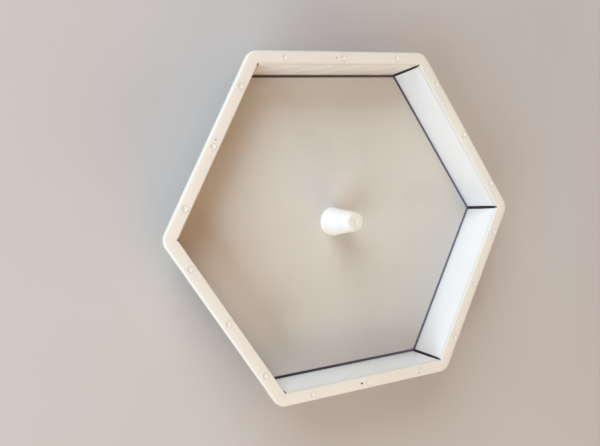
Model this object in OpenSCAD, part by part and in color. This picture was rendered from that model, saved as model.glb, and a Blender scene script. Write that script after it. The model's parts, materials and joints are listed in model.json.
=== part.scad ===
// Rock tumbler barrel: a six-sided open pan, lined with wear plates, that turns on a sealed bearing.
// Frame: +Z up the spin axis, +X through two opposite corners, Z = 0 on the surface it stands on.

/* [Barrel outline] */
// Size over the rim, corner to corner, before the corners are rounded
across_corners = 200; // [190:1:230]
// Width of the rim's flat top, measured square to a side
rim_w = 6.7; // [6:0.1:9]
// Radius of the rim's outer corners
corner_r = 6.5; // [4:0.5:12]
// Clear depth from the rim's top to the floor
inner_depth = 24.6; // [24:0.2:60]
// Lean of the walls, outwards as they rise
draft = 1.2; // [0.2:0.1:2]

/* [Shell and liners] */
// Thickness of the watertight shell
shell_t = 1.5; // [1.2:0.1:1.8]
// Thickness of the six wall plates
liner_t = 1.2; // [1:0.1:1.4]
// Thickness of the floor plate
floor_t = 3.5; // [3.2:0.1:5]
// Thickness of the shell's flange under the rim
flange_t = 1.7; // [1.4:0.1:2.4]
// Thickness of the rim frame
rim_t = 1.7; // [1.4:0.1:2.4]
// Width of the rubber seams between the plates
seam_w = 1.3; // [1:0.1:1.6]
// Height of the steeper bevel round the shell's foot
foot_h = 6.3; // [4:0.1:6.5]

/* [Rim pins] */
// Where the end pins of a side stand, as a share of its length in from each end
pin_inset = 0.18; // [0.14:0.01:0.24]
// Radius of a pin's head
pin_head_r = 1.65; // [1.5:0.05:2]
// Radius of a pin's shank
pin_shank_r = 1.1; // [0.8:0.05:1.3]
// Height of the raised ring round a head
pin_lip_h = 0.15; // [0.1:0.05:0.3]

/* [Centre post] */
// Radius at the foot, above the fillet
post_foot_r = 7.4; // [7:0.1:9]
// Radius at the tip
post_tip_r = 4.8; // [4.4:0.1:6]
// Height of the tip over the rim
post_proud = 0.5; // [0:0.1:3]
// Radius of the fillet at the foot
post_fillet_r = 0.4; // [0.3:0.1:1]
// Radius of the dimple in the tip
dimple_r = 1.5; // [1:0.1:2]
// Depth of the dimple
dimple_depth = 0.6; // [0.3:0.1:1.5]

/* [Bearing] */
// Radius of the spindle
spindle_r = 3; // [2.8:0.1:3]
// Radius over the outer ring
bearing_r = 9.5; // [9.5:0.5:10]
// Width of both rings
bearing_w = 6; // [6:0.5:7]
// Number of balls
ball_count = 7; // [6:1:7]
// Radius of a ball
ball_r = 1.7; // [1.6:0.05:1.7]
// Radial clearance between the spindle and the post's bush
bush_gap = 0.03; // [0.01:0.01:0.1]

/* [Drive pulley] */
// Radius over the pulley's rim
pulley_r = 32; // [31:1:36]
// Number of screws through the pulley
screw_count = 6; // [4:1:8]
// Pitch circle diameter of the screws
screw_pcd = 40; // [38:1:42]
// Radius of a screw's shank
screw_r = 2; // [1.5:0.25:2]

/* [Mounting base] */
// Radius of the mounting flange
base_r = 45; // [43:1:55]
// Thickness of the flange's plate
base_t = 4; // [4:0.5:6]
// Thickness of the rubber pad below it
pad_t = 1.5; // [1.4:0.1:3]
// Number of bolt holes
bolt_count = 4; // [3:1:6]
// Pitch circle diameter of the bolt holes
bolt_pcd = 74; // [72:1:76]
// Radius of a tapped bolt hole
bolt_hole_r = 2.1; // [1.6:0.1:2.6]

/* [Hidden] */
$fn = 96;

// Heights, from the ground up
base_top = pad_t + base_t;
boss_top = base_top + 2;
bearing_z = boss_top + 1;
bearing_top = bearing_z + bearing_w;
pulley_z = base_top + 0.7;
pulley_top = bearing_top + 1;
gasket_t = 0.5;
shell_z = pulley_top + gasket_t;
liner_z = shell_z + shell_t;
floor_z = liner_z + floor_t;
rim_top = floor_z + inner_depth;
rim_z = rim_top - rim_t;
flange_z = rim_z - flange_t;

// Plan of the barrel
outer_r = across_corners / 2;
mouth_apothem = outer_r * cos(30) - rim_w;
floor_apothem = mouth_apothem - inner_depth * tan(draft);
mouth_corner_r = mouth_apothem / cos(30);
foot_lean = 20;
foot_z = shell_z + foot_h;
foot_apothem = mouth_apothem - (rim_top - foot_z) * tan(draft) + (liner_t + shell_t) / cos(draft);
reach = 2 * across_corners;

// Where a corner seal runs out, in a notch of the rim frame
seal_tip_r = 0.4;
seal_top = rim_top - 0.6;

// Rim pins: one in the middle of each side and one near each of its ends
pin_shares = [pin_inset, 0.5, 1 - pin_inset];
pin_ring_w = 0.4;
pin_head_h = 0.8;
pin_apothem = outer_r * cos(30) - rim_w / 2;

// Vents through the rim frame: each stands beside the middle pin of its side, the first past it and the rest before it
vent_sides = [1, 2, 4];
vent_gap = 3.6;
vent_r = 0.35;

// Centre post and what it holds
spigot_r = 6;
spigot_z = shell_z + 0.2;
bush_r = 4.5;
bush_z = spigot_z + 0.8;
bush_top = bush_z + 14;
spindle_top = bush_top + 3;
well_top = spindle_top + 1.5;
collar_r = 4.2;
collar_h = 1.3;
post_top = rim_top + post_proud;
tip_round = 1;

// Spindle nut in its pocket
nut_h = 3;
nut_r = 5.77;
washer_h = 1;
washer_r = 6;
pocket_r = 6.4;
pocket_top = base_top - 0.2;
nut_z = pocket_top - washer_h - nut_h;
spindle_z = nut_z - 0.5;
boss_r = 7.5;
nose_r = 4.4;

// Bearing
pitch_r = (spindle_r + bearing_r) / 2;
race_r = ball_r + 0.15;
inner_land_r = pitch_r - 1.5;
outer_land_r = pitch_r + 1.5;
bearing_mid = bearing_z + bearing_w / 2;
shield_seat_r = outer_land_r + 0.5;
shield_t = 0.3;
shield_inset = 0.25;
cage_in_r = pitch_r - 0.95;
cage_out_r = pitch_r + 0.95;
cage_below = 1.2;
cage_above = 2.2;
clip_t = 1;
clip_in_r = bearing_r - 0.9;
clip_out_r = bearing_r + 0.75;
clip_z = bearing_z - clip_t;
seal_in_r = boss_r + 0.3;

// Pulley
hub_r = bearing_r + 4.5;
pulley_rim_in_r = pulley_r - 6;
web_z = pulley_top - 4;
groove_mid = (pulley_z + pulley_top) / 2;
groove_bottom_r = pulley_r - 3.2;
shoulder_r = bearing_r - 1.5;
screw_head_r = 3.5;
screw_head_h = 4;
screw_socket_r = 1.75;
plate_r = screw_pcd / 2 + 10;
plate_t = 2;

pad_hole_r = 10;

// Points along an arc, from angle a0 to a1
function arc(cx, cy, r, a0, a1, steps = 8) =
    [for (k = [0:steps]) let (a = a0 + (a1 - a0) * k / steps) [cx + r * cos(a), cy + r * sin(a)]];

// A hexagon with its corners on a circle of radius r, the corners rounded
module rounded_hexagon(r, round_r) {
    centre_r = r - round_r / cos(30);
    polygon([for (i = [0:5]) each
        arc(centre_r * cos(60 * i), centre_r * sin(60 * i), round_r, 60 * i - 30, 60 * i + 30)]);
}

// All that lies inside a plane facing +X, `out` mm past a point, and leaning outwards as it rises
module behind_plane(x, z, lean, out) {
    translate([x, 0, z])
        rotate([0, lean, 0])
            translate([out - reach, -reach / 2, -reach / 2])
                cube([reach, reach, reach]);
}

// The space inside six leaning walls, `out` mm outside the liner's face, between two heights. The bevel
// round the foot follows the shell, and whatever is inside the shell rests on it.
module wall_space(out, z0, z1) {
    intersection() {
        translate([-reach / 2, -reach / 2, z0])
            cube([reach, reach, z1 - z0]);
        intersection_for(i = [0:5])
            rotate(60 * i + 30)
                intersection() {
                    behind_plane(mouth_apothem, rim_top, draft, out);
                    behind_plane(foot_apothem, foot_z, foot_lean, max(out, liner_t) - liner_t - shell_t);
                }
    }
}

// A ring between two radii
module ring(r_in, r_out, z, h) {
    translate([0, 0, z])
        difference() {
            cylinder(r = r_out, h = h);
            translate([0, 0, -1])
                cylinder(r = r_in, h = h + 2);
        }
}

// Places its child at every rim pin
module at_rim_pins() {
    for (i = [0:5], share = pin_shares)
        rotate(60 * i + 30)
            translate([pin_apothem, (share - 0.5) * outer_r, 0])
                children();
}

// Places its child round a pitch circle
module round_circle(count, pcd, start = 0) {
    for (i = [0:count - 1])
        rotate(start + 360 * i / count)
            translate([pcd / 2, 0, 0])
                children();
}

// ---- Base: stays still ----

module base_pad() {
    color("dimgray")
    difference() {
        cylinder(r = base_r, h = pad_t);
        translate([0, 0, -1])
            cylinder(r = pad_hole_r, h = pad_t + 2);
        round_circle(bolt_count, bolt_pcd, 45)
            translate([0, 0, -1])
                cylinder(r = bolt_hole_r + 0.6, h = pad_t + 2);
    }
}

module mount_flange() {
    color("lightgray")
    difference() {
        union() {
            translate([0, 0, pad_t])
                cylinder(r = base_r, h = base_t);
            translate([0, 0, pad_t])
                cylinder(r = boss_r, h = boss_top - pad_t);
            translate([0, 0, pad_t])
                cylinder(r = nose_r, h = bearing_z - pad_t);
        }
        cylinder(r = spindle_r, h = bearing_z + 1);
        cylinder(r = pocket_r, h = pocket_top);
        round_circle(bolt_count, bolt_pcd, 45)
            cylinder(r = bolt_hole_r, h = base_top + 1);
    }
}

module spindle() {
    chamfer = 0.5;
    color("silver")
    rotate_extrude()
        polygon([[0, spindle_z], [spindle_r - chamfer, spindle_z], [spindle_r, spindle_z + chamfer],
                 [spindle_r, bearing_top], [collar_r, bearing_top],
                 [collar_r, bearing_top + collar_h], [spindle_r, bearing_top + collar_h],
                 [spindle_r, spindle_top - chamfer], [spindle_r - chamfer, spindle_top],
                 [0, spindle_top]]);
}

module spindle_washer() {
    color("silver")
        ring(spindle_r + 0.1, washer_r, pocket_top - washer_h, washer_h);
}

module spindle_nut() {
    color("silver")
    translate([0, 0, nut_z])
        difference() {
            cylinder(r = nut_r, h = nut_h, $fn = 6);
            translate([0, 0, -1])
                cylinder(r = spindle_r, h = nut_h + 2);
        }
}

// ---- Bearing ----

// Section of the ball track, taken out of a ring's section
module track_section() {
    translate([pitch_r, bearing_mid])
        circle(r = race_r);
}

module bearing_inner_ring() {
    color("silver")
    rotate_extrude()
        difference() {
            translate([spindle_r, bearing_z])
                square([inner_land_r - spindle_r, bearing_w]);
            track_section();
        }
}

module bearing_outer_ring() {
    seat = shield_inset + shield_t;
    color("silver")
    rotate_extrude()
        difference() {
            translate([outer_land_r, bearing_z])
                square([bearing_r - outer_land_r, bearing_w]);
            track_section();
            translate([outer_land_r - 1, bearing_z - 1])
                square([shield_seat_r - outer_land_r + 1, seat + 1]);
            translate([outer_land_r - 1, bearing_top - seat])
                square([shield_seat_r - outer_land_r + 1, seat + 1]);
        }
}

module bearing_balls() {
    color("silver")
    round_circle(ball_count, 2 * pitch_r)
        translate([0, 0, bearing_mid])
            sphere(r = ball_r);
}

module bearing_cage() {
    pocket_ball_r = ball_r + 0.08;
    color("goldenrod")
    difference() {
        ring(cage_in_r, cage_out_r, bearing_mid - cage_below, cage_below + cage_above);
        round_circle(ball_count, 2 * pitch_r)
            translate([0, 0, bearing_mid])
                sphere(r = pocket_ball_r);
    }
}

module bearing_shields() {
    color("gray")
    for (z = [bearing_z + shield_inset, bearing_top - shield_inset - shield_t])
        ring(inner_land_r + 0.3, shield_seat_r, z, shield_t);
}

module bearing_circlip() {
    lug_r = 1.3;
    lug_at = bearing_r - 0.5;
    lug_angle = 18;
    gap_w = 4;
    color("gray")
    translate([0, 0, clip_z])
        difference() {
            union() {
                difference() {
                    cylinder(r = clip_out_r, h = clip_t);
                    translate([0, 0, -1])
                        cylinder(r = clip_in_r, h = clip_t + 2);
                    translate([0, -gap_w / 2, -1])
                        cube([bearing_r * 2, gap_w, clip_t + 2]);
                }
                for (side = [-1, 1])
                    rotate(side * lug_angle)
                        translate([lug_at, 0, 0])
                            cylinder(r = lug_r, h = clip_t);
            }
            for (side = [-1, 1])
                rotate(side * lug_angle)
                    translate([lug_at, 0, -1])
                        cylinder(r = lug_r / 2, h = clip_t + 2);
        }
}

module dust_seal() {
    color("dimgray")
        ring(seal_in_r, bearing_r, pulley_z + 0.1, 0.9);
}

// ---- Drive pulley, under the barrel ----

module drive_pulley() {
    groove_half = 1.95;
    groove_flat = 0.45;
    color("lightgray")
    difference() {
        rotate_extrude()
            polygon([[bearing_r, pulley_z], [hub_r, pulley_z], [hub_r, web_z],
                     [pulley_rim_in_r, web_z], [pulley_rim_in_r, pulley_z], [pulley_r, pulley_z],
                     [pulley_r, groove_mid - groove_half],
                     [groove_bottom_r, groove_mid - groove_flat],
                     [groove_bottom_r, groove_mid + groove_flat],
                     [pulley_r, groove_mid + groove_half],
                     [pulley_r, pulley_top], [shoulder_r, pulley_top],
                     [shoulder_r, bearing_top], [bearing_r, bearing_top],
                     [bearing_r, clip_z + clip_t], [clip_out_r, clip_z + clip_t],
                     [clip_out_r, clip_z], [bearing_r, clip_z]]);
        round_circle(screw_count, screw_pcd)
            translate([0, 0, web_z - 1])
                cylinder(r = screw_r, h = pulley_top - web_z + 2);
    }
}

module pulley_screws() {
    color("silver")
    round_circle(screw_count, screw_pcd)
        difference() {
            union() {
                translate([0, 0, web_z - screw_head_h])
                    cylinder(r = screw_head_r, h = screw_head_h);
                translate([0, 0, web_z - 1])
                    cylinder(r = screw_r, h = liner_z + plate_t - web_z + 1);
            }
            translate([0, 0, web_z - screw_head_h - 1])
                cylinder(r = screw_socket_r, h = 3, $fn = 6);
        }
}

module pulley_gasket() {
    color("dimgray")
    difference() {
        ring(shoulder_r, pulley_r - 1, pulley_top, gasket_t);
        round_circle(screw_count, screw_pcd)
            translate([0, 0, pulley_top - 1])
                cylinder(r = screw_r, h = gasket_t + 2);
    }
}

// ---- Barrel: turns with the pulley ----

module barrel_shell() {
    color("white")
    difference() {
        union() {
            wall_space(liner_t + shell_t, shell_z, rim_z);
            translate([0, 0, flange_z])
                linear_extrude(flange_t)
                    rounded_hexagon(outer_r, corner_r);
        }
        wall_space(liner_t, liner_z, rim_z + 1);
        translate([0, 0, shell_z - 1])
            cylinder(r = spigot_r, h = shell_t + 2);
        round_circle(screw_count, screw_pcd)
            translate([0, 0, shell_z - 1])
                cylinder(r = screw_r, h = shell_t + 2);
        at_rim_pins()
            translate([0, 0, flange_z - 1])
                cylinder(r = pin_shank_r, h = flange_t + 2, $fn = 32);
    }
}

module backing_plate() {
    color("silver")
    difference() {
        ring(spigot_r, plate_r, liner_z, plate_t);
        round_circle(screw_count, screw_pcd)
            translate([0, 0, liner_z - 1])
                cylinder(r = screw_r, h = plate_t + 2);
    }
}

// The floor plate's outline, short of the walls by one seam
module floor_outline(h) {
    cylinder(r = (floor_apothem - seam_w) / cos(30), h = h, $fn = 6);
}

module floor_plate() {
    color("whitesmoke")
    difference() {
        translate([0, 0, liner_z])
            floor_outline(floor_t);
        translate([0, 0, liner_z - 1])
            cylinder(r = plate_r + 0.2, h = plate_t + 1);
        translate([0, 0, liner_z - 1])
            cylinder(r = spigot_r, h = floor_t + 2);
    }
}

module floor_seal() {
    color("black")
    difference() {
        wall_space(0, liner_z, floor_z);
        translate([0, 0, liner_z - 1])
            floor_outline(floor_t + 2);
    }
}

// A wall plate leans on the shell between two corner seams
module wall_plate(i) {
    color("white")
    rotate(60 * i - 30)
        intersection() {
            translate([0, 0, liner_z])
                linear_extrude(rim_z - liner_z)
                    polygon([[seam_w, 0],
                             [seam_w + outer_r * cos(30), -outer_r * sin(30)],
                             [seam_w + outer_r * cos(30), outer_r * sin(30)]]);
            translate([mouth_apothem, 0, rim_top])
                rotate([0, draft, 0])
                    translate([0, -outer_r, -reach / 2])
                        cube([liner_t, 2 * outer_r, reach]);
            behind_plane(foot_apothem, foot_z, foot_lean, -shell_t);
        }
}

// A corner seal fills the gap between two wall plates, and ends in a notch of the rim
module corner_seal(i) {
    color("black")
    rotate(60 * (i - 1))
        union() {
            difference() {
                intersection() {
                    translate([mouth_corner_r - 5, -seam_w / 2, liner_z])
                        cube([10, seam_w, rim_z - liner_z]);
                    wall_space(liner_t, liner_z, rim_z);
                }
                wall_space(0, liner_z - 1, rim_z + 1);
            }
            translate([mouth_corner_r, 0, rim_z])
                cylinder(r = seal_tip_r, h = seal_top - rim_z, $fn = 32);
        }
}

module rim_frame() {
    color("white")
    difference() {
        translate([0, 0, rim_z])
            linear_extrude(rim_t)
                rounded_hexagon(outer_r, corner_r);
        wall_space(0, rim_z - 1, rim_top + 1);
        for (i = [0:5])
            rotate(60 * i)
                translate([mouth_corner_r, 0, rim_z - 1])
                    cylinder(r = seal_tip_r, h = rim_t + 2, $fn = 32);
        at_rim_pins()
            translate([0, 0, rim_z - 1])
                cylinder(r = pin_shank_r, h = rim_t + 2, $fn = 32);
        at_rim_pins()
            translate([0, 0, rim_top - pin_head_h])
                cylinder(r = pin_head_r, h = pin_head_h + 1, $fn = 32);
        for (i = vent_sides)
            rotate(60 * i + 30)
                translate([pin_apothem, i == vent_sides[0] ? vent_gap : -vent_gap, rim_z - 1])
                    cylinder(r = vent_r, h = rim_t + 2, $fn = 32);
    }
}

module rim_pins() {
    color("white")
    at_rim_pins()
        difference() {
            union() {
                translate([0, 0, flange_z])
                    cylinder(r = pin_shank_r, h = rim_top - flange_z - pin_head_h / 2, $fn = 32);
                translate([0, 0, rim_top - pin_head_h])
                    cylinder(r = pin_head_r, h = pin_head_h + pin_lip_h, $fn = 32);
            }
            translate([0, 0, rim_top - pin_lip_h])
                cylinder(r = pin_head_r - pin_ring_w, h = 1, $fn = 32);
        }
}

module centre_post() {
    foot_r = post_foot_r + post_fillet_r;
    color("white")
    difference() {
        rotate_extrude()
            polygon(concat(
                [[0, spigot_z], [spigot_r, spigot_z], [spigot_r, floor_z]],
                arc(foot_r, floor_z + post_fillet_r, post_fillet_r, 270, 180),
                arc(post_tip_r - tip_round, post_top - tip_round, tip_round, 0, 90),
                [[0, post_top]]));
        translate([0, 0, spigot_z - 1])
            cylinder(r = bush_r, h = bush_top - spigot_z + 1);
        translate([0, 0, spigot_z])
            cylinder(r = spindle_r + 0.4, h = well_top - spigot_z);
        translate([0, 0, post_top - dimple_depth])
            cylinder(r1 = dimple_r / 2, r2 = dimple_r, h = dimple_depth, $fn = 32);
    }
}

module post_bush() {
    color("darkgoldenrod")
        ring(spindle_r + bush_gap, bush_r, bush_z, bush_top - bush_z);
}

base_pad();
mount_flange();
spindle();
spindle_washer();
spindle_nut();
bearing_inner_ring();
bearing_balls();
bearing_cage();
bearing_outer_ring();
bearing_shields();
bearing_circlip();
dust_seal();
drive_pulley();
pulley_screws();
pulley_gasket();
barrel_shell();
backing_plate();
floor_plate();
floor_seal();
wall_plate(1);  // wall_plate_1
wall_plate(2);  // wall_plate_2
wall_plate(3);  // wall_plate_3
wall_plate(4);  // wall_plate_4
wall_plate(5);  // wall_plate_5
wall_plate(6);  // wall_plate_6
corner_seal(1);  // corner_seal_1
corner_seal(2);  // corner_seal_2
corner_seal(3);  // corner_seal_3
corner_seal(4);  // corner_seal_4
corner_seal(5);  // corner_seal_5
corner_seal(6);  // corner_seal_6
rim_frame();
rim_pins();
centre_post();
post_bush();
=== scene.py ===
"""Rock tumbler barrel: a lined six-sided pan on a belt-driven hub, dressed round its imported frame."""

from __future__ import annotations

import json
import logging
import math
from collections.abc import Callable, Iterator
from contextlib import contextmanager
from dataclasses import dataclass, field
from enum import Enum
from typing import NamedTuple

import bmesh
import bpy
from bpy.types import Material, Node, NodeSocket, Object
from mathutils import Matrix, Vector

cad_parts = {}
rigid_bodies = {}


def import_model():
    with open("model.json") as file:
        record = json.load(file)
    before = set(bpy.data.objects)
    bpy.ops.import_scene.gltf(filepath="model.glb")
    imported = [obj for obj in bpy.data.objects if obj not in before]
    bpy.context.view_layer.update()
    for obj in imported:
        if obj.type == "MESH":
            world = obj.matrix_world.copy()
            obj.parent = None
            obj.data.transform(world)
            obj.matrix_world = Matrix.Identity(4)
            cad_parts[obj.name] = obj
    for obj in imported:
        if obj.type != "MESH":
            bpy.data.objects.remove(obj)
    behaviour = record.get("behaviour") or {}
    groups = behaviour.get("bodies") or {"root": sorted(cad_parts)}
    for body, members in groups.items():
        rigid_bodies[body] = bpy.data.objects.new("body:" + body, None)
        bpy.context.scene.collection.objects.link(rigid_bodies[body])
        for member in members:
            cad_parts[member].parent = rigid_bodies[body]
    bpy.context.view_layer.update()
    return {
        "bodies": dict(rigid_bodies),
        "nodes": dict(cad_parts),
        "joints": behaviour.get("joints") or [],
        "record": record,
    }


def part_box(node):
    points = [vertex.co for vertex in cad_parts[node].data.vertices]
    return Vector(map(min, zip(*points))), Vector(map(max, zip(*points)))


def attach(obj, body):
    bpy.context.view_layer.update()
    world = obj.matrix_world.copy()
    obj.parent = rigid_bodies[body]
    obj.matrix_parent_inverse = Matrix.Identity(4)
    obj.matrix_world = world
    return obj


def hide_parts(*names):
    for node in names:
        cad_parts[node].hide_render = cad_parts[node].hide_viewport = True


log = logging.getLogger("barrel")

MM = 0.001
SIDES = 6
TURN = math.tau
SIXTH = TURN / SIDES
UP = Vector((0, 0, 1))
FLAT = math.cos(SIXTH / 2)  # distance to a side, as a share of the distance to a corner
MOSTLY = 0.9  # a direction counts as upright when this much of it is
PAST = MM  # how far a cutter reaches past what it cuts
BIG, WIDE, SMALL = 128, 96, 24  # facets round large, middling and small turned shapes

Place = tuple[float, float]
Test = Callable[[Vector, Vector], bool]


# ---------------------------------------------------------------- bench tools


class Pick(Enum):
    """What a selection in edit mode is made of."""

    CORNER = "VERT"
    EDGE = "EDGE"
    FACE = "FACE"


class Turn(NamedTuple):
    """One corner of a turned piece's section.

    Args:
        radius: Distance from the axis, in metres.
        height: Height over the ground, in metres.
        rounding: Radius that the corner is rounded to, in metres.
    """

    radius: float
    height: float
    rounding: float = 0.0


def clear_bench() -> None:
    """Leave edit mode and put every object down."""
    if bpy.context.mode != "OBJECT":
        bpy.ops.object.mode_set(mode="OBJECT")
    bpy.ops.object.select_all(action="DESELECT")


def pick_up(piece: Object) -> Object:
    """Make one piece the only one selected, and the active one.

    Args:
        piece: The piece to work on.

    Returns:
        The same piece.
    """
    clear_bench()
    piece.select_set(True)
    bpy.context.view_layer.objects.active = piece
    return piece


@contextmanager
def shaping(piece: Object, kind: Pick = Pick.FACE) -> Iterator[None]:
    """Edit mode on one piece, with nothing in it selected.

    Args:
        piece: The piece to shape.
        kind: What a selection is made of.
    """
    pick_up(piece)
    bpy.ops.object.mode_set(mode="EDIT")
    bpy.ops.mesh.select_mode(type=kind.value)
    bpy.ops.mesh.select_all(action="DESELECT")
    yield
    bpy.ops.object.mode_set(mode="OBJECT")


def choose(piece: Object, wanted: Test, kind: Pick = Pick.FACE) -> None:
    """Select faces or edges in edit mode by where they are.

    Args:
        piece: The piece in edit mode.
        wanted: Says yes or no from a face's centre and its normal, or from an edge's two ends.
        kind: Whether faces or edges are chosen.
    """
    mesh = bmesh.from_edit_mesh(piece.data)
    if kind is Pick.FACE:
        for face in mesh.faces:
            face.select_set(wanted(face.calc_center_median(), face.normal))
    else:
        for edge in mesh.edges:
            edge.select_set(wanted(edge.verts[0].co, edge.verts[1].co))
    mesh.select_flush_mode()
    bmesh.update_edit_mesh(piece.data)


def looks_up(_: Vector, normal: Vector) -> bool:
    """Whether a face looks mostly upwards."""
    return normal.z > MOSTLY


def looks_down(_: Vector, normal: Vector) -> bool:
    """Whether a face looks mostly downwards."""
    return normal.z < -MOSTLY


def round_edges(piece: Object, wanted: Test, width: float, steps: int = 3) -> None:
    """Round some of a piece's edges with a bevel.

    Args:
        piece: The piece to round.
        wanted: Says yes or no from an edge's two ends.
        width: How far the rounding reaches from the edge.
        steps: Number of facets in the rounding.
    """
    with shaping(piece, Pick.EDGE):
        choose(piece, wanted, Pick.EDGE)
        bpy.ops.mesh.bevel(offset=width, segments=steps, profile=0.5, affect="EDGES", clamp_overlap=True)


def finish_modifier(piece: Object, kind: str, **settings: object) -> None:
    """Put a modifier on a piece and apply it at once.

    Args:
        piece: The piece to change.
        kind: The modifier's type.
        settings: Its values, by name.
    """
    pick_up(piece)
    modifier = piece.modifiers.new(kind.lower(), kind)
    for name, value in settings.items():
        setattr(modifier, name, value)
    bpy.ops.object.modifier_apply(modifier=modifier.name)


def combine(piece: Object, other: Object, operation: str = "UNION") -> None:
    """Change a piece by a second one, and throw the second away."""
    finish_modifier(piece, "BOOLEAN", operation=operation, object=other, solver="EXACT")
    bpy.data.objects.remove(other)


def cut(piece: Object, *cutters: Object) -> None:
    """Take each cutter's shape out of a piece, in turn."""
    for cutter in cutters:
        combine(piece, cutter, "DIFFERENCE")


def settle(piece: Object) -> Object:
    """Put a piece's place and turn into its mesh, so that its object stands at the origin.

    Args:
        piece: The piece to settle.

    Returns:
        The same piece.
    """
    pick_up(piece)
    bpy.ops.object.transform_apply(location=True, rotation=True, scale=True)
    return piece


def smooth(piece: Object, crease_degrees: float = 35.0) -> Object:
    """Shade a piece smooth, with its sharp edges kept.

    Args:
        piece: The piece to shade.
        crease_degrees: Edges that turn by more than this stay sharp.

    Returns:
        The same piece.
    """
    pick_up(piece)
    bpy.ops.object.shade_smooth_by_angle(angle=math.radians(crease_degrees))
    return piece


def clean(piece: Object) -> Object:
    """Merge doubled corners and turn every face outwards.

    Args:
        piece: The piece to clean.

    Returns:
        The same piece.
    """
    with shaping(piece, Pick.CORNER):
        bpy.ops.mesh.select_all(action="SELECT")
        bpy.ops.mesh.remove_doubles(threshold=1e-6)
        bpy.ops.mesh.normals_make_consistent(inside=False)
    return piece


def named(piece: Object, name: str) -> Object:
    """Give a piece and its mesh one name.

    Args:
        piece: The piece to name.
        name: The name.

    Returns:
        The same piece.
    """
    piece.name = name
    piece.data.name = name
    return piece


def finished(piece: Object, name: str, crease_degrees: float = 30.0) -> Object:
    """Clean a piece, name it, and shade it smooth."""
    return smooth(named(clean(piece), name), crease_degrees)


def duplicate(piece: Object) -> Object:
    """Copy a piece, mesh and all.

    Args:
        piece: The piece to copy.

    Returns:
        The copy.
    """
    copy = piece.copy()
    copy.data = piece.data.copy()
    bpy.context.scene.collection.objects.link(copy)
    return copy


def copy_turned(piece: Object, name: str, angle: float) -> Object:
    """Copy a piece, and turn the copy about the spin axis.

    Args:
        piece: The piece to copy.
        name: The copy's name.
        angle: How far the copy is turned, in radians.

    Returns:
        The copy.
    """
    copy = duplicate(piece)
    copy.rotation_euler = (0, 0, angle)
    return named(settle(copy), name)


def join(pieces: list[Object], name: str) -> Object:
    """Join pieces into one object.

    Args:
        pieces: The pieces, the first of which is kept.
        name: The name of what comes out.

    Returns:
        The joined piece.
    """
    pick_up(pieces[0])
    for piece in pieces:
        piece.select_set(True)
    bpy.ops.object.join()
    return named(bpy.context.view_layer.objects.active, name)


def block(low: Vector, high: Vector) -> Object:
    """A rectangular block between two corners.

    Args:
        low: Its lowest corner.
        high: Its highest corner.

    Returns:
        The block, settled.
    """
    clear_bench()
    bpy.ops.mesh.primitive_cube_add(size=1, location=(low + high) / 2, scale=high - low)
    return settle(bpy.context.object)


def rod(radius: float, low: float, high: float, place: Place = (0, 0), steps: int = 48) -> Object:
    """An upright round bar.

    Args:
        radius: Its radius.
        low: Height of its lower end.
        high: Height of its upper end.
        place: Where it stands, across and along.
        steps: Number of facets round it.

    Returns:
        The bar, settled.
    """
    clear_bench()
    middle = (*place, (low + high) / 2)
    bpy.ops.mesh.primitive_cylinder_add(vertices=steps, radius=radius, depth=high - low, location=middle)
    return settle(bpy.context.object)


def six_sided(corner: float, low: float, high: float, lean: float = 0.0) -> Object:
    """A six-sided block with corners on +X and -X.

    Args:
        corner: Distance from the axis to a corner at the top.
        low: Height of its lower face.
        high: Height of its upper face.
        lean: Angle that its sides lean outwards by as they rise, in radians.

    Returns:
        The block, settled.
    """
    clear_bench()
    bpy.ops.mesh.primitive_cylinder_add(
        vertices=SIDES,
        radius=corner,
        depth=high - low,
        location=(0, 0, (low + high) / 2),
        rotation=(0, 0, SIXTH / 2),
    )
    piece = settle(bpy.context.object)
    shrink = 1 - (high - low) * math.tan(lean) / (corner * FLAT)
    with shaping(piece):
        choose(piece, looks_down)
        bpy.ops.transform.resize(value=(shrink, shrink, 1), center_override=(0, 0, low))
    return piece


def is_upright(a: Vector, b: Vector) -> bool:
    """Whether an edge runs mostly up and down."""
    return abs((b - a).normalized().z) > MOSTLY


def is_level(a: Vector, b: Vector, height: float) -> bool:
    """Whether an edge lies at one height."""
    return abs(a.z - height) < 1e-5 and abs(b.z - height) < 1e-5


def round_upright_corners(piece: Object, radius: float, steps: int = 12) -> None:
    """Round a six-sided block's upright corners."""
    round_edges(piece, is_upright, radius * math.tan(SIXTH / 2), steps)


def rounded_outline(corners: list[Turn], closed: bool) -> list[Place]:
    """The points of a section whose corners are rounded.

    Args:
        corners: The section's corners in order.
        closed: Whether the last corner leads back to the first.

    Returns:
        Radius and height of each point.
    """
    steps, most = 6, 0.49  # facets in a rounding, and the share of a side that it may take up
    points: list[Place] = []
    count = len(corners)
    for i, corner in enumerate(corners):
        here = Vector((corner.radius, corner.height))
        at_end = not closed and i in (0, count - 1)
        if corner.rounding <= 0 or at_end:
            points.append(tuple(here))
            continue
        before = Vector(corners[i - 1][:2]) - here
        after = Vector(corners[(i + 1) % count][:2]) - here
        opening = before.angle(after)
        reach = min(corner.rounding / math.tan(opening / 2), before.length * most, after.length * most)
        radius = reach * math.tan(opening / 2)
        halfway = (before.normalized() + after.normalized()).normalized()
        middle = here + halfway * (radius / math.sin(opening / 2))
        start = here + before.normalized() * reach - middle
        sweep = start.angle_signed(here + after.normalized() * reach - middle)
        for k in range(steps + 1):
            spoke = start.copy()
            spoke.rotate(Matrix.Rotation(-sweep * k / steps, 2))
            points.append(tuple(middle + spoke))
    return points


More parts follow.
